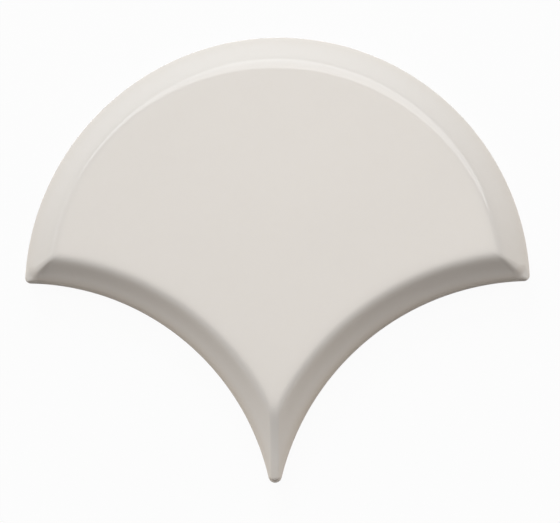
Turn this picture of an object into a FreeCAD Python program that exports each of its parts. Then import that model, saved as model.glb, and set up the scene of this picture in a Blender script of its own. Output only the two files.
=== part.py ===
"""Fish scale wall tile: one pressed, glazed and fired piece.

The outline is a round dome above two scallops that meet in a point. The face is flat, with a bevel
all round it, and the back has shallow pockets that key into the adhesive.

Millimetres, +Z up out of the face. The dome points along +Y and the point along -Y. The origin is
under the middle of the outline's box, on the plane that the back rests on.
"""

import FreeCAD, Part
import math
import os

Vector = FreeCAD.Vector

# The outline, seen from above
DOME_RADIUS = 75.0  # the dome and both scallops are struck with this radius
ROW_JOINT = 2.0  # grout joint that the scallops leave above the domes of the row below
CORNER_RADIUS = 2.0  # rounding of the two side corners
TIP_RADIUS = 2.2  # rounding of the point

# The section
THICKNESS = 9.0  # from the back to the flat face
EDGE_HEIGHT = 6.0  # from the back to the foot of the bevel
BEVEL_WIDTH = 7.7  # from the outline to the crest of the bevel, seen from above
CREST_RADIUS = 12.0  # soft crest between the bevel and the flat face
CORNER_RIDGE_RADIUS = 5.0  # where the ridge between two bevels reaches a side corner
TIP_RIDGE_RADIUS = 4.0  # where the ridge between two bevels reaches the point
RIM_RADIUS = 1.6  # rolled rim between the bevel and the side wall
WALL_DRAFT = 0.8  # how far the side wall leans in between the foot of the bevel and the back
BACK_CHAMFER = 0.6  # broken lower arris

# The keyed back
KEY_PITCH = 12.0  # from one pocket to the next
KEY_WIDTH = 9.0  # a pocket's width at its mouth
KEY_DEPTH = 0.8
KEY_DRAFT = 0.6  # how far a pocket's walls lean in between its mouth and its floor
KEY_RIM = 6.0  # plain rim kept between the pockets and the outline

# Places that follow from the sizes
DOME_CENTRE = Vector(0, 0, 0)
SCALLOP_CENTRE = Vector(DOME_RADIUS, ROW_JOINT - DOME_RADIUS, 0)
CUTTER_MARGIN = BEVEL_WIDTH / 2
TOLERANCE = 1e-4
STEEP = 0.5  # a face whose normal rises or falls by less than this is a side wall
UP = Vector(0, 0, 1)


def mirrored(point):
    """The same point on the tile's left half."""
    return Vector(-point.x, point.y, point.z)


def toward(start, end, distance):
    """The point at a distance from start, on the way to end."""
    return start + (end - start).normalize() * distance


def between(centre, first, second, radius):
    """The middle of the arc from first to second about centre."""
    middle = (first - centre).normalize() + (second - centre).normalize()
    return centre + middle.normalize() * radius


def arc(first, middle, last):
    """An arc edge through three points."""
    return Part.Arc(first, middle, last).toShape()


def corner_centre():
    """The centre of the right corner's rounding, which touches the dome and the scallop."""
    from_dome = DOME_RADIUS - CORNER_RADIUS
    from_scallop = DOME_RADIUS + CORNER_RADIUS
    way = SCALLOP_CENTRE - DOME_CENTRE
    along = (way.Length**2 + from_dome**2 - from_scallop**2) / (2 * way.Length)
    across = math.sqrt(from_dome**2 - along**2)
    way.normalize()
    return DOME_CENTRE + way * along + UP.cross(way) * across


def tip_centre():
    """The centre of the point's rounding, which touches both scallops."""
    from_scallop = DOME_RADIUS + TIP_RADIUS
    rise = math.sqrt(from_scallop**2 - SCALLOP_CENTRE.x**2)
    return Vector(0, SCALLOP_CENTRE.y + rise, 0)


def outline(height):
    """The tile's outline on the leaning side wall at a height, as six arcs that run into each other."""
    inset = WALL_DRAFT * (1 - height / EDGE_HEIGHT)
    dome_radius = DOME_RADIUS - inset
    scallop_radius = DOME_RADIUS + inset
    corner = corner_centre()
    tip = tip_centre()
    dome_end = toward(DOME_CENTRE, corner, dome_radius)
    scallop_start = toward(SCALLOP_CENTRE, corner, scallop_radius)
    scallop_end = toward(SCALLOP_CENTRE, tip, scallop_radius)
    crown = DOME_CENTRE + Vector(0, dome_radius, 0)
    corner_middle = between(corner, dome_end, scallop_start, CORNER_RADIUS - inset)
    scallop_middle = between(SCALLOP_CENTRE, scallop_start, scallop_end, scallop_radius)
    point = tip - Vector(0, TIP_RADIUS - inset, 0)
    right_side = [
        (dome_end, corner_middle, scallop_start),
        (scallop_start, scallop_middle, scallop_end),
    ]
    left_side = [[mirrored(p) for p in reversed(side)] for side in reversed(right_side)]
    arcs = [
        (mirrored(dome_end), crown, dome_end),
        *right_side,
        (scallop_end, point, mirrored(scallop_end)),
        *left_side,
    ]
    wire = Part.Wire([arc(*points) for points in arcs])
    wire.translate(UP * height)
    return wire


def bevel_cutter(centre, inward):
    """What one bevel takes off: a ring about centre, above a cone that climbs from the outline.

    inward is the way from the outline to the flat face: -1 towards the centre, 1 away from it.
    """
    slope = (THICKNESS - EDGE_HEIGHT) / BEVEL_WIDTH
    outside = DOME_RADIUS - inward * CUTTER_MARGIN
    inside = DOME_RADIUS + inward * (BEVEL_WIDTH + CUTTER_MARGIN)
    low = EDGE_HEIGHT - slope * CUTTER_MARGIN
    high = THICKNESS + slope * CUTTER_MARGIN
    corners = [Vector(outside, 0, low), Vector(inside, 0, high), Vector(outside, 0, high)]
    section = Part.Face(Part.makePolygon([*corners, corners[0]]))
    ring = section.revolve(Vector(0, 0, 0), UP, 360)
    ring.translate(centre)
    return ring


def bevelled_blank():
    """The outline at full thickness between its leaning walls, with its three bevels cut sharp."""
    blank = Part.makeLoft([outline(0), outline(THICKNESS)], True, True)
    bevels = [
        bevel_cutter(DOME_CENTRE, inward=-1),
        bevel_cutter(SCALLOP_CENTRE, inward=1),
        bevel_cutter(mirrored(SCALLOP_CENTRE), inward=1),
    ]
    return blank.cut(bevels).Solids[0]


def soften_face(tile):
    """Rounds the crest, and the three ridges that run from it to the corners and the point."""
    rounded = []
    for number, edge in enumerate(tile.Edges, start=1):
        first = edge.valueAt(edge.FirstParameter)
        last = edge.valueAt(edge.LastParameter)
        on_crest = [abs(end.z - THICKNESS) < TOLERANCE for end in (first, last)]
        if all(on_crest):
            rounded.append((number, CREST_RADIUS, CREST_RADIUS))
        elif any(on_crest):
            at_tip = abs(first.x) < TOLERANCE
            low_radius = TIP_RIDGE_RADIUS if at_tip else CORNER_RIDGE_RADIUS
            rounded.append((number, *(CREST_RADIUS if high else low_radius for high in on_crest)))
    document = FreeCAD.newDocument("tile")
    sharp = document.addObject("Part::Feature", "sharp")
    sharp.Shape = tile
    soft = document.addObject("Part::Fillet", "soft")
    soft.Base = sharp
    soft.Edges = rounded
    document.recompute()
    return soft.Shape.Solids[0]


def middle_of(face):
    """A face's parameters at the middle of their ranges."""
    low_u, high_u, low_v, high_v = face.ParameterRange
    return (low_u + high_u) / 2, (low_v + high_v) / 2


def wall_edges(tile, at_top):
    """The edges along the top or the bottom of the side wall."""
    walls = [face for face in tile.Faces if abs(face.normalAt(*middle_of(face)).z) < STEEP]
    edges = [edge for wall in walls for edge in wall.Edges]
    return [
        edge
        for edge in edges
        if (edge.BoundBox.ZMin > EDGE_HEIGHT / 2) == at_top and edge.BoundBox.ZLength < EDGE_HEIGHT / 2
    ]


def key_pocket(x, y):
    """One pocket of the keyed back: square, with walls that lean in towards its floor."""
    squares = []
    for half, height in ((KEY_WIDTH / 2, 0), (KEY_WIDTH / 2 - KEY_DRAFT, KEY_DEPTH)):
        corners = [
            Vector(x - half, y - half, height),
            Vector(x + half, y - half, height),
            Vector(x + half, y + half, height),
            Vector(x - half, y + half, height),
        ]
        squares.append(Part.makePolygon([*corners, corners[0]]))
    return Part.makeLoft(squares, True, True)


def inside_rim(x, y):
    """Whether a pocket at x, y lies whole inside the plain rim."""
    half = KEY_WIDTH / 2
    furthest = math.hypot(abs(x) + half, abs(y) + half)
    across = max(SCALLOP_CENTRE.x - abs(x) - half, 0)
    along = max(abs(y - SCALLOP_CENTRE.y) - half, 0)
    nearest = math.hypot(across, along)
    return furthest <= DOME_RADIUS - KEY_RIM and nearest >= DOME_RADIUS + KEY_RIM


def key_pockets():
    """All the pockets that fit, in rows and columns about the tile's middle line."""
    count = math.ceil(DOME_RADIUS / KEY_PITCH)
    steps = [step * KEY_PITCH for step in range(-count, count + 1)]
    return [key_pocket(x, y) for y in steps for x in steps if inside_rim(x, y)]


def fish_scale_tile():
    """The whole tile, moved so that the origin is under the middle of its outline's box."""
    tile = soften_face(bevelled_blank())
    tile = tile.makeFillet(RIM_RADIUS, wall_edges(tile, at_top=True))
    tile = tile.makeChamfer(BACK_CHAMFER, wall_edges(tile, at_top=False))
    tile = tile.cut(key_pockets()).Solids[0]
    tip_reach = TIP_RADIUS - tip_centre().y
    tile.translate(Vector(0, (tip_reach - DOME_RADIUS) / 2, 0))
    return tile


os.makedirs("parts", exist_ok=True)
fish_scale_tile().exportStep("parts/fish_scale_tile.step")
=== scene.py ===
"""A glazed fish scale tile, lying face up on a pale studio floor.

The tile is one mesh, made of rings that follow the outline. Two sections set their insets and heights,
one along the scallops and one along the dome, so the rolled rim, the hollow bevel and the soft crest are
all in the mesh. The keyed back closes it from below.

Metres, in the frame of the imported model: +Z up out of the face, the dome towards +Y, the point towards -Y.
"""

import logging
import math
from dataclasses import dataclass, field
from enum import Enum

import bpy
import numpy as np
from mathutils import Matrix, Vector, geometry, noise


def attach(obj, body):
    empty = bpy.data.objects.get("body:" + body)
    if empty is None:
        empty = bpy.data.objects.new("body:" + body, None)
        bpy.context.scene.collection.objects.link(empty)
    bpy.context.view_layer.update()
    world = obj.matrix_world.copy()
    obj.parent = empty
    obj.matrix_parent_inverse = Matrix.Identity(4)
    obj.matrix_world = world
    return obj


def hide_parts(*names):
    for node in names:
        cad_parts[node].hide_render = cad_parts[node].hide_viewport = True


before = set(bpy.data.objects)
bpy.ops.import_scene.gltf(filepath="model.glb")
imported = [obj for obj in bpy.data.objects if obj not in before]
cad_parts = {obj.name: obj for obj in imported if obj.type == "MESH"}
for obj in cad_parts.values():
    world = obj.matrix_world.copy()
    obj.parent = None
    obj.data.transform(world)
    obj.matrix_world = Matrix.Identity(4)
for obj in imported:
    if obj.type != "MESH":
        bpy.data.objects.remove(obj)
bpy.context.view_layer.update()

MM = 0.001
NODE = "fish_scale_tile"
LOG = logging.getLogger("studio")

PLAIN_DEPTH = 0.5  # the glaze's depth where it is neither thin nor pooled
MIX_FIRST, MIX_SECOND, MIX_RESULT = 6, 7, 2  # the colour sockets of a Mix node
INSIDE_LOOPS = 1  # the triangulation that keeps to what the loops enclose
SAME_PLACE = 1e-9  # points nearer than this count as one

Colour = tuple[float, float, float]


class Coat(Enum):
    """What covers a stretch of the tile; the value is the material's place in the mesh's list."""

    GLAZE = 0
    BISQUE = 1


class Stretch(Enum):
    """The stretches of the section, from the back to the middle of the face."""

    ARRIS = "arris"
    BARE_WALL = "bare wall"
    GLAZE_LINE = "glaze line"
    RIM = "rim"
    BEVEL = "bevel"
    FACE = "face"


BARE = (Stretch.ARRIS, Stretch.BARE_WALL)
WALL = (*BARE, Stretch.GLAZE_LINE)


def smooth(share: float | np.ndarray) -> float | np.ndarray:
    """Eases a share that goes from 0 to 1, so that it starts and ends level."""
    return share * share * (3 - 2 * share)


def way_to(zenith: float, azimuth: float) -> Vector:
    """Finds a direction.

    Args:
        zenith: its angle from straight up, in degrees.
        azimuth: its angle from +X towards +Y, in degrees.

    Returns:
        The direction, of length 1.
    """
    turn = math.radians(azimuth)
    level = math.sin(math.radians(zenith))
    return Vector((level * math.cos(turn), level * math.sin(turn), math.cos(math.radians(zenith))))


def link_up(name: str, data: bpy.types.ID) -> bpy.types.Object:
    """Makes an object in the scene.

    Args:
        name: what it is called.
        data: its mesh, light or camera.

    Returns:
        The object.
    """
    made = bpy.data.objects.new(name, data)
    bpy.context.scene.collection.objects.link(made)
    return made


class Sketch:
    """A node tree that is being drawn, with short ways to add and join its nodes."""

    def __init__(self, owner: bpy.types.Material | bpy.types.World) -> None:
        """Starts from an empty tree.

        Args:
            owner: whose tree it is.
        """
        owner.use_nodes = True
        self.tree = owner.node_tree
        self.tree.nodes.clear()

    def add(self, kind: str, settings: dict | None = None, **sockets: object) -> bpy.types.Node:
        """Adds a node.

        Args:
            kind: the node's type.
            settings: the node's own properties.
            sockets: values or links for its inputs, by name with underscores for spaces.

        Returns:
            The new node.
        """
        node = self.tree.nodes.new(kind)
        for name, value in (settings or {}).items():
            setattr(node, name, value)
        for name, value in sockets.items():
            self.put(node, name.replace("_", " "), value)
        return node

    def put(self, node: bpy.types.Node, socket: str | int, value: object) -> None:
        """Sets an input to a value, or links it where the value is another node's output.

        Args:
            node: the node whose input is set.
            socket: the input's name or number.
            value: a number, a colour or an output.
        """
        target = node.inputs[socket]
        if isinstance(value, bpy.types.NodeSocket):
            self.tree.links.new(value, target)
        else:
            target.default_value = (*value, 1.0) if target.type == "RGBA" else value

    def math(self, operation: str, *values: object) -> bpy.types.NodeSocket:
        """Adds a Math node.

        Args:
            operation: what it works out.
            values: its inputs, numbers or outputs.

        Returns:
            Its output.
        """
        node = self.add("ShaderNodeMath", {"operation": operation})
        for number, value in enumerate(values):
            self.put(node, number, value)
        return node.outputs[0]

    def mix(self, blend: str, share: object, first: object, second: object) -> bpy.types.NodeSocket:
        """Mixes two colours.

        Args:
            blend: the way of mixing.
            share: how much of the second one, a number or an output.
            first: the first colour or output.
            second: the second colour or output.

        Returns:
            The mixed colour.
        """
        node = self.add("ShaderNodeMix", {"data_type": "RGBA", "blend_type": blend})
        self.put(node, "Factor", share)
        self.put(node, MIX_FIRST, first)
        self.put(node, MIX_SECOND, second)
        return node.outputs[MIX_RESULT]

    def noise(self, place: bpy.types.NodeSocket, grain: float, detail: float) -> bpy.types.NodeSocket:
        """Adds a noise.

        Args:
            place: the coordinates that it follows.
            grain: the size of its blots, in metres.
            detail: how many finer layers it has.

        Returns:
            Its strength, about 0.5 on average.
        """
        node = self.add("ShaderNodeTexNoise", Vector=place, Scale=1 / grain, Detail=detail)
        return node.outputs["Fac"]


@dataclass(frozen=True)
class Glaze:
    """Warm white gloss glaze, browner where it runs thin and paler where it pools; along the scallops the
    browner rim is also painted shade.

    Attributes:
        colour: its colour at a plain depth.
        thin_colour: its colour where the clay shows through, which along the scallops also stands for
            painted shade on the rim.
        pooled_colour: its colour where it lies deepest.
        index: its index of refraction.
        roughness: its mean roughness.
        roughness_spread: how far the mottle changes the roughness.
        cloud_size: the size of its large, faint clouds.
        cloud_layers: how many finer layers they have, as for the mottle and the peel.
        cloud_depth: how far they change the colour.
        mottle_size: the size of its small mottle.
        mottle_depth: how far it changes the depth.
        peel_size: the size of its fine waves.
        peel_height: the height of those waves.
        depth_name: what the mesh calls the depth.
        depth_places: places across the edge, in millimetres, below 0 on the wall.
        depths: how deep it lies there, 0 where it is thinnest and 1 where it pools.
    """

    colour: Colour = (0.730, 0.690, 0.650)
    thin_colour: Colour = (0.690, 0.632, 0.570)
    pooled_colour: Colour = (0.765, 0.730, 0.695)
    index: float = 1.55
    roughness: float = 0.055
    roughness_spread: float = 0.03
    cloud_size: float = 34 * MM
    cloud_layers: float = 2
    cloud_depth: float = 0.035
    mottle_size: float = 2.6 * MM
    mottle_layers: float = 3
    mottle_depth: float = 0.12
    peel_size: float = 1.9 * MM
    peel_layers: float = 1
    peel_height: float = 0.0008 * MM
    depth_name: str = "glaze_depth"
    depth_places: tuple[float, ...] = (-1.0, 0.0, 0.5, 1.2, 1.8, 3.0, 5.0, 8.0, 10.0)
    depths: tuple[float, ...] = (0.3, 0.05, 0.0, 0.0, 0.2, 0.5, 0.55, 0.45, 0.5)

    def material(self) -> bpy.types.Material:
        """Makes the material.

        Returns:
            The glaze, which reads how deep it lies from the mesh.
        """
        made = bpy.data.materials.new("warm_white_glaze")
        sketch = Sketch(made)
        place = sketch.add("ShaderNodeTexCoord").outputs["Object"]
        mottle = sketch.noise(place, self.mottle_size, self.mottle_layers)
        cloud = sketch.noise(place, self.cloud_size, self.cloud_layers)
        peel = sketch.noise(place, self.peel_size, self.peel_layers)

        depth = sketch.add("ShaderNodeAttribute", {"attribute_name": self.depth_name}).outputs["Fac"]
        uneven = sketch.math("MULTIPLY_ADD", mottle, self.mottle_depth, -self.mottle_depth / 2)
        ramp = sketch.add("ShaderNodeValToRGB", Fac=sketch.math("ADD", depth, uneven))
        stops = ramp.color_ramp.elements
        stops[0].color = (*self.thin_colour, 1)
        stops[1].color = (*self.pooled_colour, 1)
        stops.new(PLAIN_DEPTH).color = (*self.colour, 1)
        lift = sketch.math("MULTIPLY_ADD", cloud, self.cloud_depth, 1 - self.cloud_depth / 2)
        tint = sketch.mix("MULTIPLY", 1.0, ramp.outputs["Color"], lift)

        least = self.roughness - self.roughness_spread / 2
        rough = sketch.math("MULTIPLY_ADD", mottle, self.roughness_spread, least)
        bump = sketch.add("ShaderNodeBump", Strength=1.0, Distance=self.peel_height, Height=peel)
        shader = sketch.add(
            "ShaderNodeBsdfPrincipled",
            Base_Color=tint,
            Roughness=rough,
            IOR=self.index,
            Normal=bump.outputs["Normal"],
        )
        sketch.add("ShaderNodeOutputMaterial", Surface=shader.outputs["BSDF"])
        return made


@dataclass(frozen=True)
class Bisque:
    """Bare fired clay: cream, matt and grainy, with smears of kiln dust.

    Attributes:
        colour: the clay's colour.
        dust_colour: the colour of the dust.
        roughness: the clay's roughness.
        grain_size: the size of its grain.
        grain_layers: how many finer layers it has, as for the smears.
        grain_height: the height of the grain.
        grain_shade: how far the grain changes the colour.
        smear_size: the size of the smears.
        smear_range: from where to where in their noise the dust thickens.
        grit_size: the size of the dark specks.
        grit_range: from where to where in their noise a speck darkens.
        grit_strength: how much of its own colour a speck shows.
        grit_colour: that colour.
    """

    colour: Colour = (0.66, 0.58, 0.48)
    dust_colour: Colour = (0.74, 0.70, 0.64)
    roughness: float = 0.88
    grain_size: float = 0.55 * MM
    grain_layers: float = 4
    grain_height: float = 0.05 * MM
    grain_shade: float = 0.24
    smear_size: float = 16 * MM
    smear_layers: float = 5
    smear_range: tuple[float, float] = (0.42, 0.66)
    grit_size: float = 1.3 * MM
    grit_range: tuple[float, float] = (0.70, 0.80)
    grit_strength: float = 0.6
    grit_colour: Colour = (0.44, 0.35, 0.27)

    def material(self) -> bpy.types.Material:
        """Makes the material.

        Returns:
            The bare clay.
        """
        made = bpy.data.materials.new("bare_bisque")
        sketch = Sketch(made)
        place = sketch.add("ShaderNodeTexCoord").outputs["Object"]
        grain = sketch.noise(place, self.grain_size, self.grain_layers)
        smear = sketch.noise(place, self.smear_size, self.smear_layers)
        grit = sketch.noise(place, self.grit_size, detail=0)

        low, high = self.smear_range
        dusty = sketch.add("ShaderNodeMapRange", Value=smear, From_Min=low, From_Max=high)
        tint = sketch.mix("MIX", dusty.outputs["Result"], self.colour, self.dust_colour)
        low, high = self.grit_range
        speck = sketch.add("ShaderNodeMapRange", Value=grit, From_Min=low, From_Max=high)
        sketch.put(speck, "To Max", self.grit_strength)
        tint = sketch.mix("MIX", speck.outputs["Result"], tint, self.grit_colour)
        shade = sketch.math("MULTIPLY_ADD", grain, self.grain_shade, 1 - self.grain_shade / 2)
        tint = sketch.mix("MULTIPLY", 1.0, tint, shade)
        bump = sketch.add("ShaderNodeBump", Strength=1.0, Distance=self.grain_height, Height=grain)
        shader = sketch.add(
            "ShaderNodeBsdfPrincipled",
            Base_Color=tint,
            Roughness=self.roughness,
            Normal=bump.outputs["Normal"],
        )
        sketch.add("ShaderNodeOutputMaterial", Surface=shader.outputs["BSDF"])
        return made


@dataclass(frozen=True)
class FloorPaint:
    """Matt paint that the camera and reflections see as white, with the tile's shadow still on it.

    Attributes:
        colour: what it throws about of the light.
        white_share: how much of it is seen as plain white.
    """

    colour: Colour = (0.55, 0.55, 0.55)
    white_share: float = 0.955

    def material(self) -> bpy.types.Material:
        """Makes the material.

        Returns:
            The paint: plain where it throws light about, and mostly white where it is looked at.
        """
        made = bpy.data.materials.new("pale_floor_paint")
        sketch = Sketch(made)
        rays = sketch.add("ShaderNodeLightPath").outputs
        looked_at = sketch.math("MAXIMUM", rays["Is Camera Ray"], rays["Is Glossy Ray"])
        looked_at = sketch.math("MAXIMUM", looked_at, rays["Is Transmission Ray"])
        share = sketch.math("MULTIPLY", looked_at, self.white_share)
        matt = sketch.add("ShaderNodeBsdfDiffuse", Color=self.colour).outputs["BSDF"]
        white = sketch.add("ShaderNodeEmission", Color=(1.0, 1.0, 1.0), Strength=1.0).outputs["Emission"]
        mixed = sketch.add("ShaderNodeMixShader", Fac=share)
        sketch.put(mixed, 1, matt)
        sketch.put(mixed, 2, white)
        sketch.add("ShaderNodeOutputMaterial", Surface=mixed.outputs["Shader"])
        return made


@dataclass(frozen=True)
class Outline:
    """The tile seen from above: a dome, two scallops, two corners and a point, all of them arcs.

    Attributes:
        dome_radius: the radius of the dome and of both scallops.
        row_joint: the joint that the scallops leave above the domes of the row below.
        corner_radius: the rounding of the side corners.
        tip_radius: the rounding of the point.
        dome_points to tip_points: how many points each arc has on one half of a ring.
        corner_run: how many points into the scallop the dome's section reaches.
        tip_run: over how many points before the point it comes back.
        tip_share: how far it comes back.
    """

    dome_radius: float = 75.0 * MM
    row_joint: float = 2.0 * MM
    corner_radius: float = 2.0 * MM
    tip_radius: float = 2.2 * MM
    dome_points: int = 150
    corner_points: int = 22
    scallop_points: int = 108
    tip_points: int = 22
    corner_run: int = 5
    tip_run: int = 26
    tip_share: float = 0.55

    @property
    def scallop_centre(self) -> np.ndarray:
        """The centre of the right scallop, from the dome's centre."""
        return np.array([self.dome_radius, self.row_joint - self.dome_radius])

    @property
    def middle(self) -> np.ndarray:
        """The middle of the outline's box, from the dome's centre."""
        point = self.tip_centre(0, self.tip_radius)[1] - self.tip_radius
        return np.array([0, (self.dome_radius + point) / 2])

    @property
    def dome_share(self) -> np.ndarray:
        """Says how much of the dome's section each point of a ring takes.

        Returns:
            The shares: 1 on the dome, 0 on most of the scallops, and some again towards the point.
        """
        counts = [self.dome_points, self.corner_points, self.scallop_points, self.tip_points]
        dome_end, corner_end, scallop_end, last = np.cumsum(counts)
        corner = [(dome_end + corner_end) / 2, corner_end + self.corner_run]
        tip = [scallop_end - self.tip_run, scallop_end]
        share = np.interp(np.arange(last + 1), corner + tip, [1.0, 0.0, 0.0, self.tip_share])
        right = smooth(share)
        return np.concatenate([right, right[-2:0:-1]])

    def corner_centre(self, inset: float, rounding: float) -> np.ndarray:
        """Finds the centre of the right corner's rounding on a ring.

        Args:
            inset: how far the ring lies inside the outline.
            rounding: the radius of its corner.

        Returns:
            The centre, which is as far from the dome and the scallop as the rounding asks.
        """
        from_dome = self.dome_radius - inset - rounding
        from_scallop = self.dome_radius + inset + rounding
        length = np.linalg.norm(self.scallop_centre)
        way = self.scallop_centre / length
        along = (length**2 + from_dome**2 - from_scallop**2) / (2 * length)
        across = math.sqrt(from_dome**2 - along**2)
        return way * along + np.array([-way[1], way[0]]) * across

    def tip_centre(self, inset: float, rounding: float) -> np.ndarray:
        """Finds the centre of the point's rounding on a ring.

        Args:
            inset: how far the ring lies inside the outline.
            rounding: the radius of its point.

        Returns:
            The centre, on the middle line.
        """
        from_scallop = self.dome_radius + inset + rounding
        rise = math.sqrt(from_scallop**2 - self.scallop_centre[0] ** 2)
        return np.array([0, self.scallop_centre[1] + rise])

    @staticmethod
    def arc(centre: np.ndarray, radius: float, start: float, end: float, count: int) -> np.ndarray:
        """Puts points along an arc.

        Args:
            centre: the arc's centre.
            radius: its radius.
            start: the angle where it starts.
            end: the angle where it ends, which is left to the next arc.
            count: how many points it gets.

        Returns:
            The points, one in each row.
        """
        angles = np.linspace(start, end, count, endpoint=False)
        return centre + radius * np.column_stack([np.cos(angles), np.sin(angles)])

    def ring(self, inset: float, corner: float, tip: float) -> np.ndarray:
        """Lays a ring, from the crown round the right corner, the point and the left corner.

        Args:
            inset: how far it lies inside the outline.
            corner: the radius of its corners.
            tip: the radius of its point.

        Returns:
            The points about the middle of the outline's box, one in each row.
        """
        corner_at = self.corner_centre(inset, corner)
        tip_at = self.tip_centre(inset, tip)
        scallop_at = self.scallop_centre
        dome_end = math.atan2(corner_at[1], corner_at[0])
        corner_end = math.atan2(*(scallop_at - corner_at)[::-1])
        scallop_start = math.atan2(*(corner_at - scallop_at)[::-1])
        scallop_end = math.atan2(*(tip_at - scallop_at)[::-1])
        tip_start = math.atan2(*(scallop_at - tip_at)[::-1])
        inner = self.dome_radius - inset
        outer = self.dome_radius + inset
        right = np.concatenate(
            [
                self.arc(np.zeros(2), inner, math.pi / 2, dome_end, self.dome_points),
                self.arc(corner_at, corner, dome_end, corner_end, self.corner_points),
                self.arc(scallop_at, outer, scallop_start, scallop_end, self.scallop_points),
                self.arc(tip_at, tip, tip_start, -math.pi / 2, self.tip_points),
                [tip_at - (0, tip)],
            ]
        )
        left = right[-2:0:-1] * (-1, 1)
        return np.concatenate([right, left]) - self.middle


@dataclass(frozen=True)
class Ring:
    """One closed line round the tile.

    Attributes:
        stretch: the stretch of the section that starts here.
        inset: how far it lies inside the outline.
        height: how far it lies above the back.
        wander: how much of the glaze line's unevenness it takes, up to 1.
    """

    stretch: Stretch
    inset: float
    height: float
    wander: float = 0.0


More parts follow.
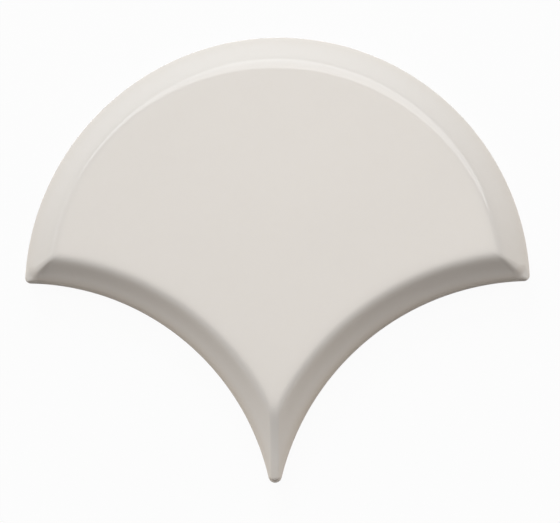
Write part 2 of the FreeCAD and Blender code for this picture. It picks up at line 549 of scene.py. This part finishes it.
@dataclass(frozen=True)
class Section:
    """The tile cut across its edge: bare foot, glazed wall, rolled rim, hollow bevel and soft crest.

    Attributes:
        thickness: from the back to the flat face.
        edge_height: from the back to the foot of the bevel.
        bevel_width: from the outline to the crest.
        bevel_hollow: how much less the bevel slopes at its foot than at the crest, up to 1.
        crest_softness: how gradually the slope dies away over the crest.
        crest_reach: where the crest starts to round, in softnesses from it.
        face_start: where the flat face starts.
        face_end: where the innermost ring lies.
        slope_end: how far in the slope is worked out.
        roll_slope: how much steeper the bevel gets at the rim.
        roll_width: how fast that dies away from the rim.
        rim_radius: the small arc between the bevel and the wall.
        rim_search: how far in that arc may touch the bevel, in radii.
        wall_draft: how far the wall leans in between the rim and the back.
        arris_radius: the rounding of the lower arris.
        glaze_line: how high above the back the glaze starts.
        glaze_line_wander: how far that line wanders up and down.
        glaze_skin: how far the glaze stands out from the bare wall.
        thinning_and_shade: how far the glaze thins out at the rim, up to 1; the scallops' larger value also
            paints shade on their rim.
        arris_rings to face_rings: how many rings each stretch has.
        steps: in how many steps a curve is worked out.
    """

    thickness: float = 9.0 * MM
    edge_height: float = 5.87 * MM
    bevel_width: float = 7.2 * MM
    bevel_hollow: float = 0.76
    crest_softness: float = 0.70 * MM
    crest_reach: float = 4.0
    face_start: float = 14.0 * MM
    face_end: float = 45.0 * MM
    slope_end: float = 21.0 * MM
    roll_slope: float = 0.85
    roll_width: float = 0.85 * MM
    rim_radius: float = 0.55 * MM
    rim_search: float = 4.0
    wall_draft: float = 0.8 * MM
    arris_radius: float = 0.6 * MM
    glaze_line: float = 2.0 * MM
    glaze_line_wander: float = 0.7 * MM
    glaze_skin: float = 0.14 * MM
    # The glaze really thins at the rim, but the scallops take more of it than the dome, which paints shade
    # on the rim turned away from the light.
    thinning_and_shade: float = 0.75
    arris_rings: int = 5
    skin_rings: int = 4
    rim_rings: int = 12
    bevel_rings: int = 22
    crest_rings: int = 26
    face_rings: int = 16
    steps: int = 2000

    def bevel_heights(self, insets: np.ndarray) -> np.ndarray:
        """Works out the height of the bevel, the crest and the face.

        Args:
            insets: places across the edge, from the outline inwards.

        Returns:
            The heights. The slope rises up the hollow bevel and dies away over the crest, and the bevel's
            foot rolls over towards the rim.
        """
        across = np.linspace(0, self.slope_end, self.steps)
        from_crest = (self.bevel_width - across) / self.bevel_width
        slope = (1 - self.bevel_hollow * from_crest) / (
            1 + np.exp((across - self.bevel_width) / self.crest_softness)
        )
        drop = np.concatenate([[0], np.cumsum((slope[1:] + slope[:-1]) / 2)])
        share = 1 - drop / drop[-1]
        fall = self.thickness - self.edge_height
        roll = self.roll_slope * self.roll_width * np.exp(-insets / self.roll_width)
        return self.thickness - fall * np.interp(insets, across, share) - roll

    def wall_inset(self, height: float | np.ndarray) -> float | np.ndarray:
        """How far the leaning wall lies inside the outline at a height."""
        return self.wall_draft * (1 - height / self.edge_height)

    def rim(self) -> tuple[np.ndarray, np.ndarray]:
        """Rounds the rim, an arc that touches the wall and the foot of the bevel.

        Returns:
            The insets and the heights of its rings.
        """
        radius = self.rim_radius
        touch = np.linspace(0, self.rim_search * radius, self.steps)
        heights = self.bevel_heights(touch)
        angles = np.arctan(np.gradient(heights, touch))
        across = touch + radius * np.sin(angles)
        up = heights - radius * np.cos(angles)
        lean = math.atan2(self.wall_draft, self.edge_height)
        spare = (across - self.wall_inset(up)) * math.cos(lean) - radius
        turn = np.linspace(-lean, math.pi / 2 - np.interp(0, spare, angles), self.rim_rings)
        insets = np.interp(0, spare, across) - radius * np.cos(turn)
        heights = np.interp(0, spare, up) + radius * np.sin(turn)
        return insets, heights

    def rings(self) -> list[Ring]:
        """Lists the rings.

        Returns:
            The rings from the edge of the back to the middle of the face.
        """
        rings = []
        foot = self.wall_inset(0) + self.glaze_skin
        for turn in np.linspace(0, math.pi / 2, self.arris_rings):
            inset = foot + self.arris_radius * (1 - math.sin(turn))
            rings.append(Ring(Stretch.ARRIS, inset, self.arris_radius * (1 - math.cos(turn))))
        low = self.glaze_line - self.glaze_skin
        rings.append(Ring(Stretch.BARE_WALL, self.wall_inset(low) + self.glaze_skin, low, wander=1.0))
        for turn in np.linspace(0, math.pi / 2, self.skin_rings):
            height = self.glaze_line - self.glaze_skin * (1 - math.sin(turn))
            inset = self.wall_inset(height) + self.glaze_skin * math.cos(turn)
            rings.append(Ring(Stretch.GLAZE_LINE, inset, height, wander=1.0))
        for inset, height in zip(*self.rim()):
            rings.append(Ring(Stretch.RIM, inset, height))
        start = rings[-1].inset
        crest = self.bevel_width - self.crest_reach * self.crest_softness
        across = np.concatenate(
            [
                np.linspace(start, crest, self.bevel_rings + 1)[1:],
                np.linspace(crest, self.face_start, self.crest_rings + 1)[1:],
            ]
        )
        for inset, height in zip(across, self.bevel_heights(across)):
            rings.append(Ring(Stretch.BEVEL, inset, height))
        for inset in np.linspace(self.face_start, self.face_end, self.face_rings + 1)[1:]:
            rings.append(Ring(Stretch.FACE, inset, self.thickness))
        return rings


@dataclass(frozen=True)
class KeyedBack:
    """The back's square pockets, which key into the adhesive.

    Attributes:
        pitch: from one pocket to the next.
        width: a pocket's width at its mouth.
        depth: its depth.
        draft: how far its walls lean in between its mouth and its floor.
        rim: the plain rim between the pockets and the outline.
        corner: the rounding of a pocket's corners.
        lip: the rounding of its mouth and round its floor.
        corner_points: how many points each corner has.
    """

    pitch: float = 12.0 * MM
    width: float = 9.0 * MM
    depth: float = 0.8 * MM
    draft: float = 0.6 * MM
    rim: float = 6.0 * MM
    corner: float = 1.1 * MM
    lip: float = 0.2 * MM
    corner_points: int = 5

    def square(self, centre: np.ndarray, half: float, corner: float) -> np.ndarray:
        """Draws a square with rounded corners.

        Args:
            centre: the square's middle.
            half: half of its width.
            corner: the radius of its corners.

        Returns:
            Its points, one in each row, anticlockwise from above.
        """
        corners = []
        for quarter in range(4):
            start = quarter * math.pi / 2
            angles = np.linspace(start, start + math.pi / 2, self.corner_points)
            sides = np.sign([math.cos(start + math.pi / 4), math.sin(start + math.pi / 4)])
            at = centre + sides * (half - corner)
            corners.append(at + corner * np.column_stack([np.cos(angles), np.sin(angles)]))
        return np.concatenate(corners)

    def centres(self, outline: Outline) -> list[np.ndarray]:
        """Finds the places for pockets that keep clear of the outline.

        Args:
            outline: the tile's outline.

        Returns:
            The pockets' middles, from the dome's centre.
        """
        half = self.width / 2
        scallop = outline.scallop_centre
        count = math.ceil(outline.dome_radius / self.pitch)
        steps = [step * self.pitch for step in range(-count, count + 1)]
        found = []
        for x, y in ((x, y) for y in steps for x in steps):
            furthest = math.hypot(abs(x) + half, abs(y) + half)
            across = max(scallop[0] - abs(x) - half, 0)
            nearest = math.hypot(across, max(abs(y - scallop[1]) - half, 0))
            clear = outline.dome_radius - furthest >= self.rim
            if clear and nearest - outline.dome_radius >= self.rim:
                found.append(np.array([x, y]))
        return found

    def levels(self) -> list[tuple[float, float, float]]:
        """Lists the rings of a pocket.

        Returns:
            The half width, the height and the corner's radius of each ring, from the mouth inwards.
        """
        half = self.width / 2
        floor = half - self.draft
        return [
            (half + self.lip, 0.0, self.corner + self.lip),
            (half, self.lip / 2, self.corner),
            (floor + self.lip, self.depth - self.lip / 2, self.corner),
            (floor, self.depth - self.lip / 8, self.corner - self.lip),
            (floor - 2 * self.lip, self.depth, self.corner - 2 * self.lip),
        ]


@dataclass
class FishScaleTile:
    """The whole tile: its rings, its keyed back and its two finishes.

    Attributes:
        outline: the tile seen from above.
        scallop_section: the section along the scallops.
        dome_section: the section along the dome.
        back: the keyed back.
        glaze: the finish of the face and of most of the wall.
        bisque: the finish of the foot and the back.
        margin: how far the mesh keeps inside the outline.
        rim_inset: where the rounding starts to leave that of the outline.
        foot_inset: where the foot's rounding holds.
        bevel_inset: where the bevel's rounding holds.
        corner_foot to corner_face: the corners' radius at the foot, on the bevel, at the crest and in the
            middle of the face.
        tip_foot to tip_face: the point's radius at the same places.
        ripple_size: the size of the face's faint waves.
        ripple_height: the height of those waves.
        wander_size: the size of the glaze line's waves.
        points: the mesh's points.
        depths: the glaze's depth at each point.
        faces: the mesh's faces.
        coats: what covers each face.
    """

    outline: Outline = field(default_factory=Outline)
    scallop_section: Section = Section()
    dome_section: Section = Section(
        edge_height=6.0 * MM,
        bevel_width=7.5 * MM,
        bevel_hollow=0.10,
        roll_slope=0.10,
        roll_width=0.6 * MM,
        rim_radius=0.3 * MM,
        # The dome thins less because its rim is lit; the scallops' browner rim is partly painted shade.
        thinning_and_shade=0.25,
    )
    back: KeyedBack = field(default_factory=KeyedBack)
    glaze: Glaze = field(default_factory=Glaze)
    bisque: Bisque = field(default_factory=Bisque)
    margin: float = 0.14 * MM
    rim_inset: float = 0.4 * MM
    foot_inset: float = 1.1 * MM
    bevel_inset: float = 3.5 * MM
    corner_foot: float = 3.8 * MM
    corner_bevel: float = 2.0 * MM
    corner_crest: float = 1.2 * MM
    corner_face: float = 2.6 * MM
    tip_foot: float = 1.2 * MM
    tip_bevel: float = 1.3 * MM
    tip_crest: float = 1.7 * MM
    tip_face: float = 6.0 * MM
    ripple_size: float = 21 * MM
    ripple_height: float = 0.03 * MM
    wander_size: float = 9 * MM
    points: list[tuple[float, float, float]] = field(default_factory=list)
    depths: list[float] = field(default_factory=list)
    faces: list[tuple[int, ...]] = field(default_factory=list)
    coats: list[Coat] = field(default_factory=list)

    def roundings(self, ring: Ring) -> tuple[float, float]:
        """Works out how round a ring's corners and point are.

        Args:
            ring: the ring.

        Returns:
            The corner's radius and the point's radius.
        """
        inset = ring.inset + self.margin
        corner = self.outline.corner_radius
        tip = self.outline.tip_radius
        if inset < self.rim_inset or ring.stretch in WALL:
            return corner - inset, tip - inset
        section = self.scallop_section
        places = [self.rim_inset, self.foot_inset, self.bevel_inset, section.bevel_width, section.face_end]
        corners = [self.corner_foot, self.corner_bevel, self.corner_crest, self.corner_face]
        tips = [self.tip_foot, self.tip_bevel, self.tip_crest, self.tip_face]
        corner = self.eased(inset, places, [corner - self.rim_inset, *corners])
        return corner, self.eased(inset, places, [tip - self.rim_inset, *tips])

    @staticmethod
    def eased(at: float, places: list[float], values: list[float]) -> float:
        """Goes smoothly from one value to the next.

        Args:
            at: the place asked for.
            places: the places of the values, in order.
            values: the values.

        Returns:
            The value there, with no kink at any of the places.
        """
        step = min(max(int(np.searchsorted(places, at)) - 1, 0), len(places) - 2)
        share = min(max((at - places[step]) / (places[step + 1] - places[step]), 0.0), 1.0)
        return values[step] + smooth(share) * (values[step + 1] - values[step])

    def glaze_depth(self, ring: Ring, thinning_and_shade: float) -> float:
        """Says how deep the glaze lies along a ring: 0 thin, 0.5 plain, 1 pooled.

        Args:
            ring: the ring.
            thinning_and_shade: how far the glaze thins out at the rim, up to 1, which on the scallops also
                paints the rim's shade.

        Returns:
            The depth.
        """
        place = -ring.inset if ring.stretch in WALL else ring.inset
        depth = float(np.interp(place / MM, self.glaze.depth_places, self.glaze.depths))
        return PLAIN_DEPTH + thinning_and_shade * (depth - PLAIN_DEPTH)

    def place_ring(self, ring: Ring, thinning_and_shade: float) -> np.ndarray:
        """Places the points of a ring in one section.

        Args:
            ring: the ring.
            thinning_and_shade: how far the glaze thins out at the rim, up to 1, which on the scallops also
                paints the rim's shade.

        Returns:
            The place of each point and the glaze's depth there, one point in each row.
        """
        flat = self.outline.ring(ring.inset + self.margin, *self.roundings(ring))
        level = np.array([ring.height, self.glaze_depth(ring, thinning_and_shade)])
        return np.column_stack([flat, np.tile(level, (len(flat), 1))])

    def lay_ring(self, scallop: Ring, dome: Ring) -> list[int]:
        """Adds a ring's points, which go over from one section to the other round the corners.

        Args:
            scallop: the ring in the scallops' section.
            dome: the same ring in the dome's section.

        Returns:
            The numbers of its points.
        """
        share = self.outline.dome_share[:, None]
        by_scallop = self.place_ring(scallop, self.scallop_section.thinning_and_shade)
        by_dome = self.place_ring(dome, self.dome_section.thinning_and_shade)
        first = len(self.points)
        for x, y, height, depth in by_dome * share + by_scallop * (1 - share):
            if scallop.wander:
                uneven = noise.noise(Vector((x, y, 0)) / self.wander_size)
                height += scallop.wander * self.scallop_section.glaze_line_wander * uneven
            if scallop.stretch in (Stretch.BEVEL, Stretch.FACE):
                uneven = noise.noise(Vector((x, y, 0)) / self.ripple_size)
                height -= self.ripple_height * (1 + uneven) / 2
            self.points.append((x, y, height))
            self.depths.append(depth)
        return list(range(first, len(self.points)))

    def join(self, low: list[int], high: list[int], coat: Coat) -> None:
        """Closes the gap between two rings.

        Args:
            low: the points of the ring whose faces look away from the next one.
            high: the points of the next ring inwards.
            coat: what covers the gap.
        """
        count = len(low)
        for here in range(count):
            after = (here + 1) % count
            self.faces.append((low[after], low[here], high[here], high[after]))
            self.coats.append(coat)

    def lay_edge_and_face(self) -> list[int]:
        """Builds everything from the edge of the back to the middle of the face.

        Returns:
            The numbers of the points round the back.
        """
        rings = self.scallop_section.rings()
        laid = [self.lay_ring(*pair) for pair in zip(rings, self.dome_section.rings())]
        for ring, low, high in zip(rings, laid, laid[1:]):
            self.join(low, high, Coat.BISQUE if ring.stretch in BARE else Coat.GLAZE)
        heart = len(self.points)
        inner = [self.points[number] for number in laid[-1]]
        self.points.append(tuple(np.mean(inner, axis=0)))
        self.depths.append(self.depths[-1])
        count = len(inner)
        for here in range(count):
            self.faces.append((laid[-1][(here + 1) % count], laid[-1][here], heart))
            self.coats.append(Coat.GLAZE)
        return laid[0]

    def lay_pocket(self, centre: np.ndarray) -> list[int]:
        """Builds one pocket of the back.

        Args:
            centre: the pocket's middle.

        Returns:
            The numbers of the points round its mouth.
        """
        laid = []
        for half, height, corner in self.back.levels():
            square = self.back.square(centre, half, corner)
            first = len(self.points)
            self.points.extend((x, y, height) for x, y in square)
            self.depths.extend([0.0] * len(square))
            laid.append(list(range(first, len(self.points))))
        for low, high in zip(laid, laid[1:]):
            self.join(low, high, Coat.BISQUE)
        self.faces.append(tuple(reversed(laid[-1])))
        self.coats.append(Coat.BISQUE)
        return laid[0]

    def lay_back(self, edge: list[int]) -> None:
        """Builds the back between the edge and the pockets.

        Args:
            edge: the numbers of the points round the back.
        """
        centres = [centre - self.outline.middle for centre in self.back.centres(self.outline)]
        mouths = [self.lay_pocket(centre) for centre in centres]
        numbers = edge + [number for mouth in mouths for number in mouth]
        flat = [Vector(self.points[number][:2]) for number in numbers]
        loops = []
        first = 0
        for loop in (edge, *mouths):
            loops.extend((first + here, first + (here + 1) % len(loop)) for here in range(len(loop)))
            first += len(loop)
        cells = geometry.delaunay_2d_cdt(flat, loops, [], INSIDE_LOOPS, SAME_PLACE)[2]
        half = self.back.width / 2
        for cell in cells:
            middle = np.mean([flat[corner] for corner in cell], axis=0)
            if all(np.max(np.abs(middle - centre)) > half for centre in centres):
                self.faces.append(tuple(numbers[corner] for corner in reversed(cell)))
                self.coats.append(Coat.BISQUE)

    def build(self) -> bpy.types.Object:
        """Builds the mesh.

        Returns:
            The tile, with no finish yet.
        """
        self.lay_back(self.lay_edge_and_face())
        mesh = bpy.data.meshes.new("glazed_tile")
        mesh.from_pydata(self.points, [], self.faces)
        mesh.polygons.foreach_set("material_index", [coat.value for coat in self.coats])
        mesh.shade_smooth()
        depth = mesh.attributes.new(self.glaze.depth_name, "FLOAT", "POINT")
        depth.data.foreach_set("value", self.depths)
        mesh.update()
        return link_up("glazed_tile", mesh)

    def dress(self, tile: bpy.types.Object) -> None:
        """Gives the tile its finishes and its place in the frame.

        Args:
            tile: the built tile.
        """
        for finish in (self.glaze, self.bisque):
            tile.data.materials.append(finish.material())
        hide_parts(NODE)
        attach(tile, "root")


@dataclass(frozen=True)
class Floor:
    """The pale floor that the tile lies on, a disc that curves up into a low wall all round.

    Attributes:
        reach: how far away the wall stands.
        bend: the radius of the curve, and the height of the wall.
        gap: how far the floor lies below the tile's back.
        rings: how many rings the curve has.
        sides: how many points a ring has.
        paint: the floor's finish.
    """

    reach: float = 4.0
    bend: float = 0.6
    gap: float = 0.02 * MM
    rings: int = 12
    sides: int = 96
    paint: FloorPaint = field(default_factory=FloorPaint)

    def build(self) -> bpy.types.Object:
        """Builds the floor.

        Returns:
            The floor.
        """
        angles = np.linspace(0, 2 * math.pi, self.sides, endpoint=False)
        way = np.column_stack([np.cos(angles), np.sin(angles)])
        points = []
        faces = [tuple(range(self.sides))]
        for ring, turn in enumerate(np.linspace(0, math.pi / 2, self.rings)):
            flat = way * (self.reach - self.bend * (1 - math.sin(turn)))
            height = self.bend * (1 - math.cos(turn)) - self.gap
            points.extend((x, y, height) for x, y in flat)
            if ring:
                low = np.arange(self.sides) + (ring - 1) * self.sides
                after = np.roll(low, -1)
                faces.extend(np.column_stack([low, after, after + self.sides, low + self.sides]).tolist())
        mesh = bpy.data.meshes.new("studio_floor")
        mesh.from_pydata(points, [], faces)
        mesh.materials.append(self.paint.material())
        floor = link_up("studio_floor", mesh)
        return floor


@dataclass(frozen=True)
class Softbox:
    """A lamp behind a flat white cloth, hung level above the tile, which mirrors it in the crest.

    Attributes:
        height: how high the cloth hangs.
        corners: the corners of the cloth, seen from above.
        strength: how bright the cloth is.
        colour: its colour.
    """

    height: float = 3.0
    corners: tuple[tuple[float, float], ...] = (
        (-1.88, 1.06),
        (-0.95, 0.95),
        (-0.32, 0.60),
        (0.84, 0.60),
        (1.40, 1.12),
        (0.96, 1.84),
        (0.68, 2.16),
        (0.03, 2.58),
        (-0.40, 2.78),
        (-0.97, 2.82),
        (-1.62, 1.74),
    )
    strength: float = 2.45
    colour: Colour = (0.965, 0.975, 1.0)

    def build(self) -> bpy.types.Object:
        """Hangs the cloth.

        Returns:
            The cloth, out of the camera's sight.
        """
        made = bpy.data.materials.new("lit_cloth")
        sketch = Sketch(made)
        glow = sketch.add("ShaderNodeEmission", Color=self.colour, Strength=self.strength)
        sheer = sketch.add("ShaderNodeBsdfTransparent", Color=(1.0, 1.0, 1.0))
        both = sketch.add("ShaderNodeAddShader")
        sketch.put(both, 0, glow.outputs["Emission"])
        sketch.put(both, 1, sheer.outputs["BSDF"])
        sketch.add("ShaderNodeOutputMaterial", Surface=both.outputs["Shader"])
        mesh = bpy.data.meshes.new("softbox_cloth")
        points = [(x, y, self.height) for x, y in self.corners]
        mesh.from_pydata(points, [], [tuple(range(len(points)))])
        mesh.materials.append(made)
        cloth = link_up("softbox_cloth", mesh)
        cloth.visible_camera = False
        cloth.visible_shadow = False
        return cloth


@dataclass(frozen=True)
class Lamp:
    """A flat lamp that stands near the tile and faces it, out of sight and out of its reflections.

    Attributes:
        name: what it is called.
        azimuth: the side it stands on, from +X towards +Y, in degrees.
        elevation: how high it stands, in degrees.
        width: its width.
        height: its height.
        energy: its power.
        colour: its colour.
        distance: how far from the tile it stands.
    """

    name: str
    azimuth: float
    elevation: float
    width: float
    height: float
    energy: float
    colour: Colour
    distance: float = 2.2

    def build(self) -> bpy.types.Object:
        """Sets the lamp up.

        Returns:
            The lamp.
        """
        way = way_to(90 - self.elevation, self.azimuth)
        light = bpy.data.lights.new(self.name, "AREA")
        light.shape = "RECTANGLE"
        light.size = self.width
        light.size_y = self.height
        light.energy = self.energy
        light.color = self.colour
        lamp = link_up(self.name, light)
        lamp.location = way * self.distance
        lamp.rotation_euler = way.to_track_quat("Z", "Y").to_euler()
        lamp.visible_camera = False
        lamp.visible_glossy = False
        return lamp


@dataclass(frozen=True)
class Glow:
    """A soft bright patch of the studio's walls and ceiling.

    Attributes:
        zenith: its angle from straight up, in degrees.
        azimuth: its angle from +X towards +Y, in degrees.
        tightness: how fast it fades, the power of the cosine.
        strength: how bright its middle is.
        colour: its colour.
    """

    zenith: float
    azimuth: float
    tightness: float
    strength: float
    colour: Colour = (1.0, 1.0, 1.0)

    @property
    def direction(self) -> Vector:
        """The way to its middle."""
        return way_to(self.zenith, self.azimuth)


@dataclass(frozen=True)
class Studio:
    """The light: a cool lamp behind the dome, warm cards at the sides, a softbox and a glowing ceiling.

    Attributes:
        lamps: the lamp and the cards.
        softbox: the softbox that the crest mirrors.
        glows: the bright patches of the ceiling.
        fill: the light that comes from everywhere.
    """

    lamps: tuple[Lamp, ...] = (
        Lamp(
            "key_lamp",
            azimuth=100, elevation=24.5, width=1.07, height=0.615,
            energy=38.8, colour=(0.785, 0.900, 1.0),
        ),
        Lamp(
            "right_card",
            azimuth=28, elevation=8.6, width=1.35, height=0.53,
            energy=20.8, colour=(1.0, 0.880, 0.740),
        ),
        Lamp(
            "left_card",
            azimuth=160, elevation=8.6, width=1.07, height=0.53,
            energy=18.4, colour=(1.0, 0.880, 0.730),
        ),
    )
    softbox: Softbox = Softbox()
    glows: tuple[Glow, ...] = (
        Glow(zenith=15, azimuth=118, tightness=14, strength=1.20, colour=(0.99, 0.915, 0.825)),
        Glow(zenith=8, azimuth=130, tightness=60, strength=2.18, colour=(0.99, 0.915, 0.830)),
        Glow(zenith=32, azimuth=160, tightness=90, strength=1.3, colour=(1.0, 0.95, 0.90)),
    )
    fill: Colour = (0.005, 0.005, 0.005)

    def build(self) -> list[bpy.types.Object]:
        """Sets up all the light.

        Returns:
            The lamps and the softbox.
        """
        lit = [lamp.build() for lamp in self.lamps]
        lit.append(self.softbox.build())
        self.paint_ceiling()
        return lit

    def paint_ceiling(self) -> None:
        """Paints the glows on the world."""
        world = bpy.data.worlds.new("studio")
        bpy.context.scene.world = world
        sketch = Sketch(world)
        way = sketch.add("ShaderNodeTexCoord").outputs["Generated"]
        light = self.fill
        for glow in self.glows:
            towards = sketch.add("ShaderNodeVectorMath", {"operation": "DOT_PRODUCT"})
            sketch.put(towards, 0, way)
            sketch.put(towards, 1, glow.direction)
            near = sketch.math("MAXIMUM", towards.outputs["Value"], 0.0)
            bright = sketch.math("MULTIPLY", sketch.math("POWER", near, glow.tightness), glow.strength)
            light = sketch.mix("ADD", 1.0, light, sketch.mix("MULTIPLY", 1.0, glow.colour, bright))
        background = sketch.add("ShaderNodeBackground", Color=light, Strength=1.0)
        sketch.add("ShaderNodeOutputWorld", Surface=background.outputs["Background"])


@dataclass(frozen=True)
class Camera:
    """A long lens above the tile, a little to the right and towards the point.

    Attributes:
        target: what it looks at.
        distance: how far away it is.
        tilt: its angle from straight up, in degrees.
        azimuth: the side it leans to, from +X towards +Y, in degrees.
        roll: its turn about its own axis, in degrees.
        view_width: what the frame takes in at the target.
        sensor: the width of its sensor, in millimetres.
        sight: how far it sees.
    """

    target: tuple[float, float, float] = (1.24 * MM, -0.64 * MM, 5.0 * MM)
    distance: float = 1.021
    tilt: float = 7.45
    azimuth: float = -35.71
    roll: float = 0.14
    view_width: float = 165.08 * MM
    sensor: float = 36.0
    sight: float = 100.0

    def build(self) -> bpy.types.Object:
        """Sets the camera up.

        Returns:
            The scene's camera.
        """
        back = way_to(self.tilt, self.azimuth)
        right = Vector((0, 1, 0)).cross(back).normalized()
        up = back.cross(right)
        turn = Matrix.Rotation(math.radians(self.roll), 3, back)
        axes = Matrix((turn @ right, turn @ up, back)).transposed()
        data = bpy.data.cameras.new("photo_camera")
        data.sensor_width = self.sensor
        data.lens = self.sensor * self.distance / self.view_width
        data.clip_end = self.sight
        camera = link_up("photo_camera", data)
        camera.matrix_world = Matrix.Translation(Vector(self.target) + back * self.distance) @ axes.to_4x4()
        bpy.context.scene.camera = camera
        return camera


def main() -> None:
    """Builds the camera, the light, the floor and the tile, and reports each piece."""
    logging.basicConfig(level=logging.INFO, format="%(name)s: %(message)s")
    bpy.context.scene.view_settings.view_transform = "Standard"
    for thing in (Camera().build(), *Studio().build(), Floor().build()):
        LOG.info("%s: set up", thing.name)
    design = FishScaleTile()
    tile = design.build()
    design.dress(tile)
    LOG.info("%s: %d points, %d faces", tile.name, len(tile.data.vertices), len(tile.data.polygons))


if __name__ == "__main__":
    main()
